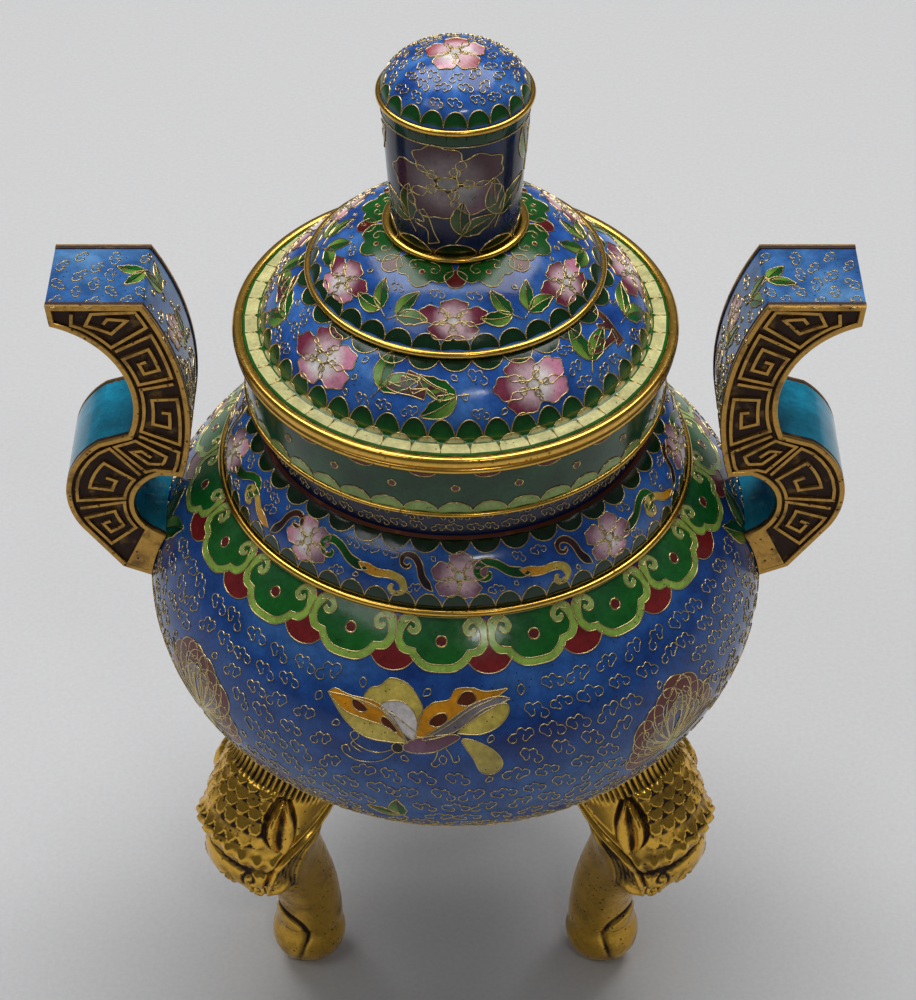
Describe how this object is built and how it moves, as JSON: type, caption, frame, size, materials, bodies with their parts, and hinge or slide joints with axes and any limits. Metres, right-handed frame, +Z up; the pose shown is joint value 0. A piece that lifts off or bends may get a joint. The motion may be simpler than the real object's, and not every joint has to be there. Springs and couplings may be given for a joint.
{
  "type": "lidded tripod censer",
  "caption": "Round-bellied cloisonne jar on cast animal legs, with two upright fretted ears and a domed lid with a tall knob that lifts off.",
  "frame": {"origin": "on the jar's axis, at the plane that the three feet stand on", "axes": "+Z up along the jar's axis, +X through the right ear, -Y the front between the two front legs"},
  "size_m": [0.1522, 0.124, 0.2244],
  "materials": {
    "blue_enamel": "polished",
    "dark_blue_enamel": "polished",
    "green_enamel": "polished",
    "turquoise_enamel": "gloss",
    "copper": "dull",
    "gilt_wire": "polished gilt",
    "gilt_fretwork": "gilt with dark recesses",
    "gilt_casting": "cast and gilt",
    "dull_brass": "dull"
  },
  "bodies": {
    "vessel": {"belly_enamel": "blue_enamel", "bowl_lining": "turquoise_enamel", "bowl_lower_copper": "copper", "bowl_upper_copper": "copper", "collar_enamel": "green_enamel", "collar_foot_ring": "gilt_wire", "ear_left_core": "dull_brass", "ear_left_eye_enamel": "turquoise_enamel", "ear_left_front_plate": "gilt_fretwork", "ear_left_inner_enamel": "blue_enamel", "ear_left_outer_enamel": "turquoise_enamel", "ear_left_rear_plate": "gilt_fretwork", "ear_nuts": "dull_brass", "ear_right_core": "dull_brass", "ear_right_eye_enamel": "turquoise_enamel", "ear_right_front_plate": "gilt_fretwork", "ear_right_inner_enamel": "blue_enamel", "ear_right_outer_enamel": "turquoise_enamel", "ear_right_rear_plate": "gilt_fretwork", "ear_studs": "dull_brass", "ear_washers": "dull_brass", "leg_back": "gilt_casting", "leg_left": "gilt_casting", "leg_nuts": "dull_brass", "leg_right": "gilt_casting", "leg_studs": "dull_brass", "leg_washers": "dull_brass", "mouth_rim": "gilt_wire", "neck_copper": "copper", "neck_enamel": "dark_blue_enamel", "shoulder_enamel": "blue_enamel", "shoulder_ring": "gilt_wire"},
    "lid": {"knob_cap_copper": "copper", "knob_cap_enamel": "blue_enamel", "knob_copper": "copper", "knob_enamel": "dark_blue_enamel", "knob_foot_ring": "gilt_wire", "knob_nut": "dull_brass", "knob_stud": "dull_brass", "knob_top_ring": "gilt_wire", "knob_washer": "dull_brass", "lid_copper": "copper", "lid_lining": "turquoise_enamel", "lid_lower_enamel": "blue_enamel", "lid_rim": "gilt_wire", "lid_spigot": "dull_brass", "lid_tier_ring": "gilt_wire", "lid_upper_enamel": "blue_enamel"}
  },
  "joints": [
    {"name": "lid_lift", "type": "slide", "parent": "vessel", "child": "lid", "axis": [0, 0, 1], "range_m": [0, 0.1]}
  ]
}
